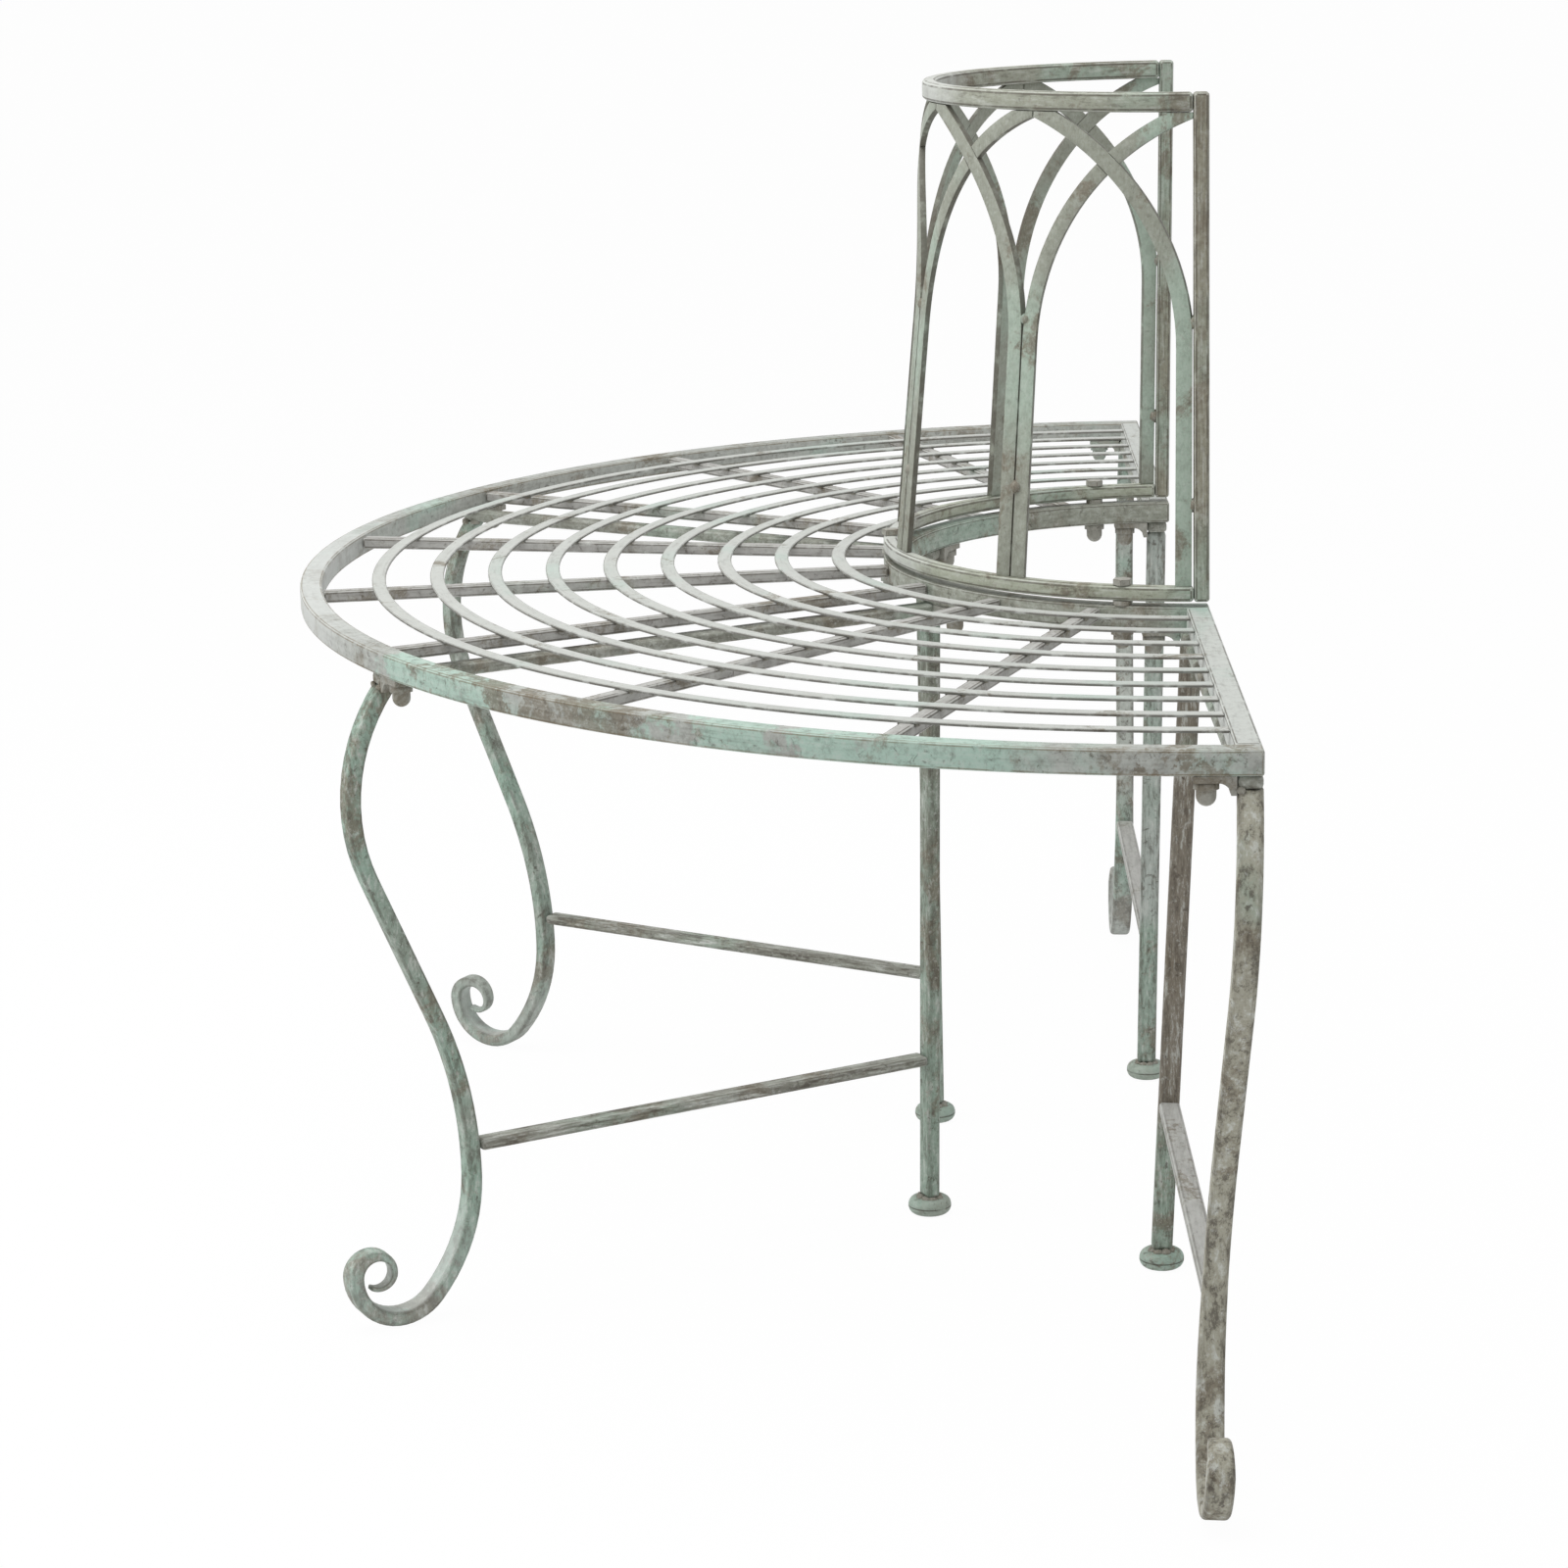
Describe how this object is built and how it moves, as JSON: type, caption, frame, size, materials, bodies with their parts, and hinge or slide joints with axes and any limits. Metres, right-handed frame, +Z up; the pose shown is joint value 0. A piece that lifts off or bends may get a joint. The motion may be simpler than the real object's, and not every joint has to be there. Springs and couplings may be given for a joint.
{
  "type": "half-round tree bench",
  "caption": "Half-round open metal bench seat with a curved, arched backrest on scrolled legs, shaped to wrap one side of a tree trunk.",
  "frame": {"origin": "on the floor, at the middle of the footprint box: half-way along the straight cut side in X, half-way from the cut plane to the front of the rim in Y", "axes": "+Z up; the curved front faces -Y; the straight cut side, where the second half meets, lies along X at the back (+Y); +X is the bench's long direction"},
  "size_m": [1.2873, 0.6129, 0.775],
  "materials": {
    "seat_paint": "distressed pale green-grey paint, matt",
    "ring_paint": "distressed pale green-grey paint, matt",
    "back_paint": "distressed taupe and green paint, matt",
    "leg_paint": "distressed taupe and green paint, matt",
    "fixing_paint": "distressed taupe paint, matt"
  },
  "bodies": {
    "root": {"seat_outer_rim": "seat_paint", "seat_inner_rim": "seat_paint", "end_bar_right": "seat_paint", "end_bar_left": "seat_paint", "radial_bar_1": "seat_paint", "radial_bar_2": "seat_paint", "radial_bar_3": "seat_paint", "radial_bar_4": "seat_paint", "radial_bar_5": "seat_paint", "radial_bar_6": "seat_paint", "radial_bar_7": "seat_paint", "radial_bar_8": "seat_paint", "seat_ring_1": "ring_paint", "seat_ring_2": "ring_paint", "seat_ring_3": "ring_paint", "seat_ring_4": "ring_paint", "seat_ring_5": "ring_paint", "seat_ring_6": "ring_paint", "seat_ring_7": "ring_paint", "seat_ring_8": "ring_paint", "seat_ring_9": "ring_paint", "back_bottom_hoop": "back_paint", "back_top_hoop": "back_paint", "back_post_right": "back_paint", "back_post_left": "back_paint", "arch_through_1": "back_paint", "arch_cut_1": "back_paint", "arch_through_2": "back_paint", "arch_cut_2": "back_paint", "arch_through_3": "back_paint", "arch_cut_3": "back_paint", "arch_through_4": "back_paint", "arch_cut_4": "back_paint", "arch_through_5": "back_paint", "arch_cut_5": "back_paint", "outer_leg_right": "leg_paint", "inner_leg_right": "leg_paint", "stretcher_right": "leg_paint", "top_bar_right": "leg_paint", "foot_right": "leg_paint", "outer_leg_front_right": "leg_paint", "inner_leg_front_right": "leg_paint", "stretcher_front_right": "leg_paint", "top_bar_front_right": "leg_paint", "foot_front_right": "leg_paint", "outer_leg_front_left": "leg_paint", "inner_leg_front_left": "leg_paint", "stretcher_front_left": "leg_paint", "top_bar_front_left": "leg_paint", "foot_front_left": "leg_paint", "outer_leg_left": "leg_paint", "inner_leg_left": "leg_paint", "stretcher_left": "leg_paint", "top_bar_left": "leg_paint", "foot_left": "leg_paint", "leg_ears": "fixing_paint", "leg_bolts": "fixing_paint", "cap_nuts": "fixing_paint", "back_bolts": "fixing_paint", "back_spacers": "fixing_paint"}
  },
  "joints": []
}
